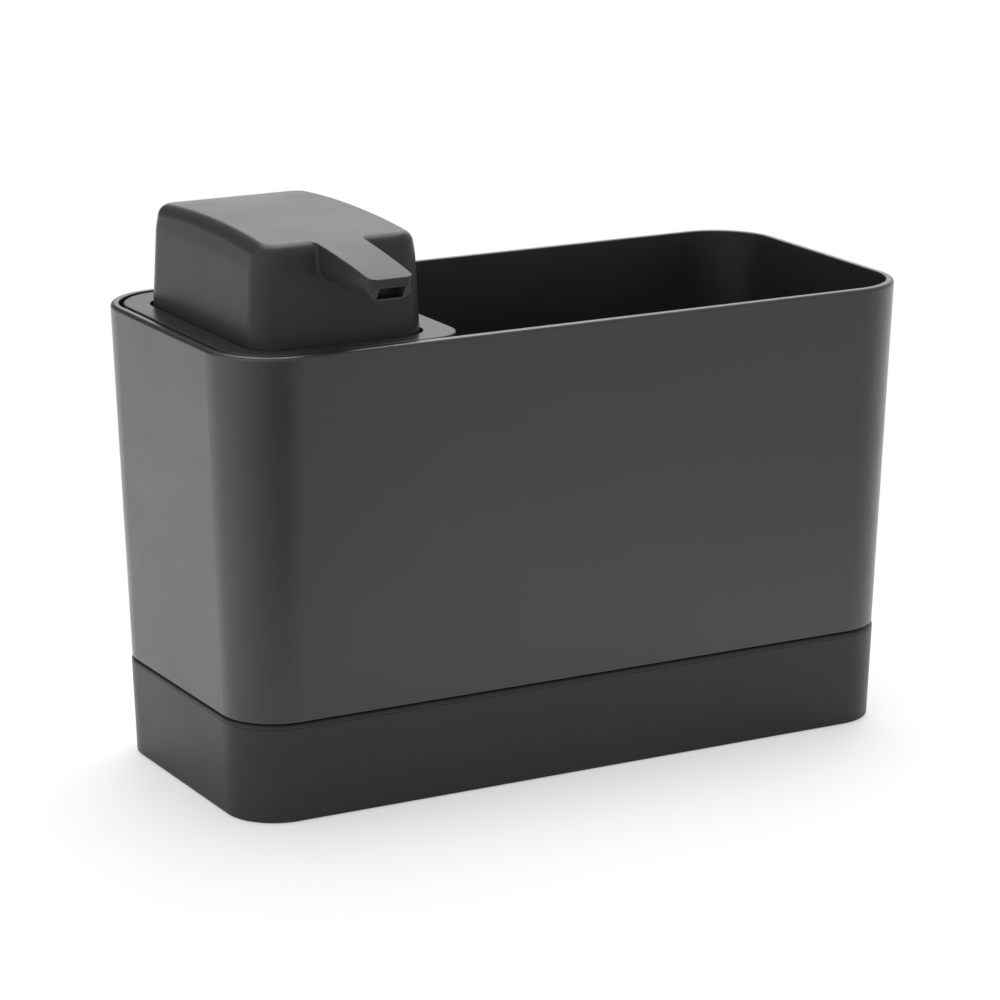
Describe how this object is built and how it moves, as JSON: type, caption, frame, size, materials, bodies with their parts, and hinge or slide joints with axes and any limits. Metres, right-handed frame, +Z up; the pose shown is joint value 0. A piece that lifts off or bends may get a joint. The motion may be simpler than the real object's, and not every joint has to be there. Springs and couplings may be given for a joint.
{
  "type": "soap pump caddy",
  "caption": "Tapered open sink caddy on a drip tray, with a lift-out soap dispenser in one end whose rounded press head has a flat forward spout.",
  "frame": {"origin": "on the floor, under the middle of the caddy's base", "axes": "+X along the caddy from the dispenser to the open bay, +Y from the spout's side to the back, +Z up"},
  "size_m": [0.235, 0.1264, 0.1748],
  "materials": {
    "caddy_plastic": "satin dark grey",
    "tray_plastic": "satin near-black",
    "head_plastic": "satin near-black",
    "silicone": "matt",
    "tank_plastic": "frosted",
    "pump_plastic": "natural white",
    "tube_plastic": "natural, smooth",
    "steel": "bright"
  },
  "bodies": {
    "base": {"drip_tray": "tray_plastic", "base_pad": "silicone"},
    "caddy": {"caddy_body": "caddy_plastic"},
    "tank": {"soap_tank": "tank_plastic"},
    "lid": {"dispenser_deck": "head_plastic", "lid_seal": "silicone", "pump_cylinder": "pump_plastic", "cylinder_gasket": "silicone", "retaining_nut": "pump_plastic", "stem_guide": "pump_plastic", "stem_wiper": "silicone", "inlet_cage": "pump_plastic", "return_spring": "steel", "dip_tube": "tube_plastic"},
    "head": {"pump_head": "head_plastic", "spout_channel": "head_plastic", "pump_stem": "pump_plastic", "piston_seal": "silicone"},
    "lower_ball": {"inlet_ball": "steel"},
    "upper_ball": {"outlet_ball": "steel"}
  },
  "joints": [
    {"name": "caddy_lift", "type": "slide", "parent": "base", "child": "caddy", "axis": [0, 0, 1], "range_m": [0, 0.05]},
    {"name": "dispenser_lift", "type": "slide", "parent": "caddy", "child": "tank", "axis": [0, 0, 1], "range_m": [0, 0.125]},
    {"name": "deck_lift", "type": "slide", "parent": "tank", "child": "lid", "axis": [0, 0, 1], "range_m": [0, 0.11]},
    {"name": "pump_press", "type": "slide", "parent": "lid", "child": "head", "axis": [0, 0, -1], "range_m": [0, 0.012], "stiffness_N_per_m": 400, "springref_m": -0.012, "deforming": ["return_spring"]},
    {"name": "inlet_ball_lift", "type": "slide", "parent": "lid", "child": "lower_ball", "axis": [0, 0, 1], "range_m": [0, 0.0015]},
    {"name": "outlet_ball_lift", "type": "slide", "parent": "head", "child": "upper_ball", "axis": [0, 0, 1], "range_m": [0, 0.0015]}
  ]
}
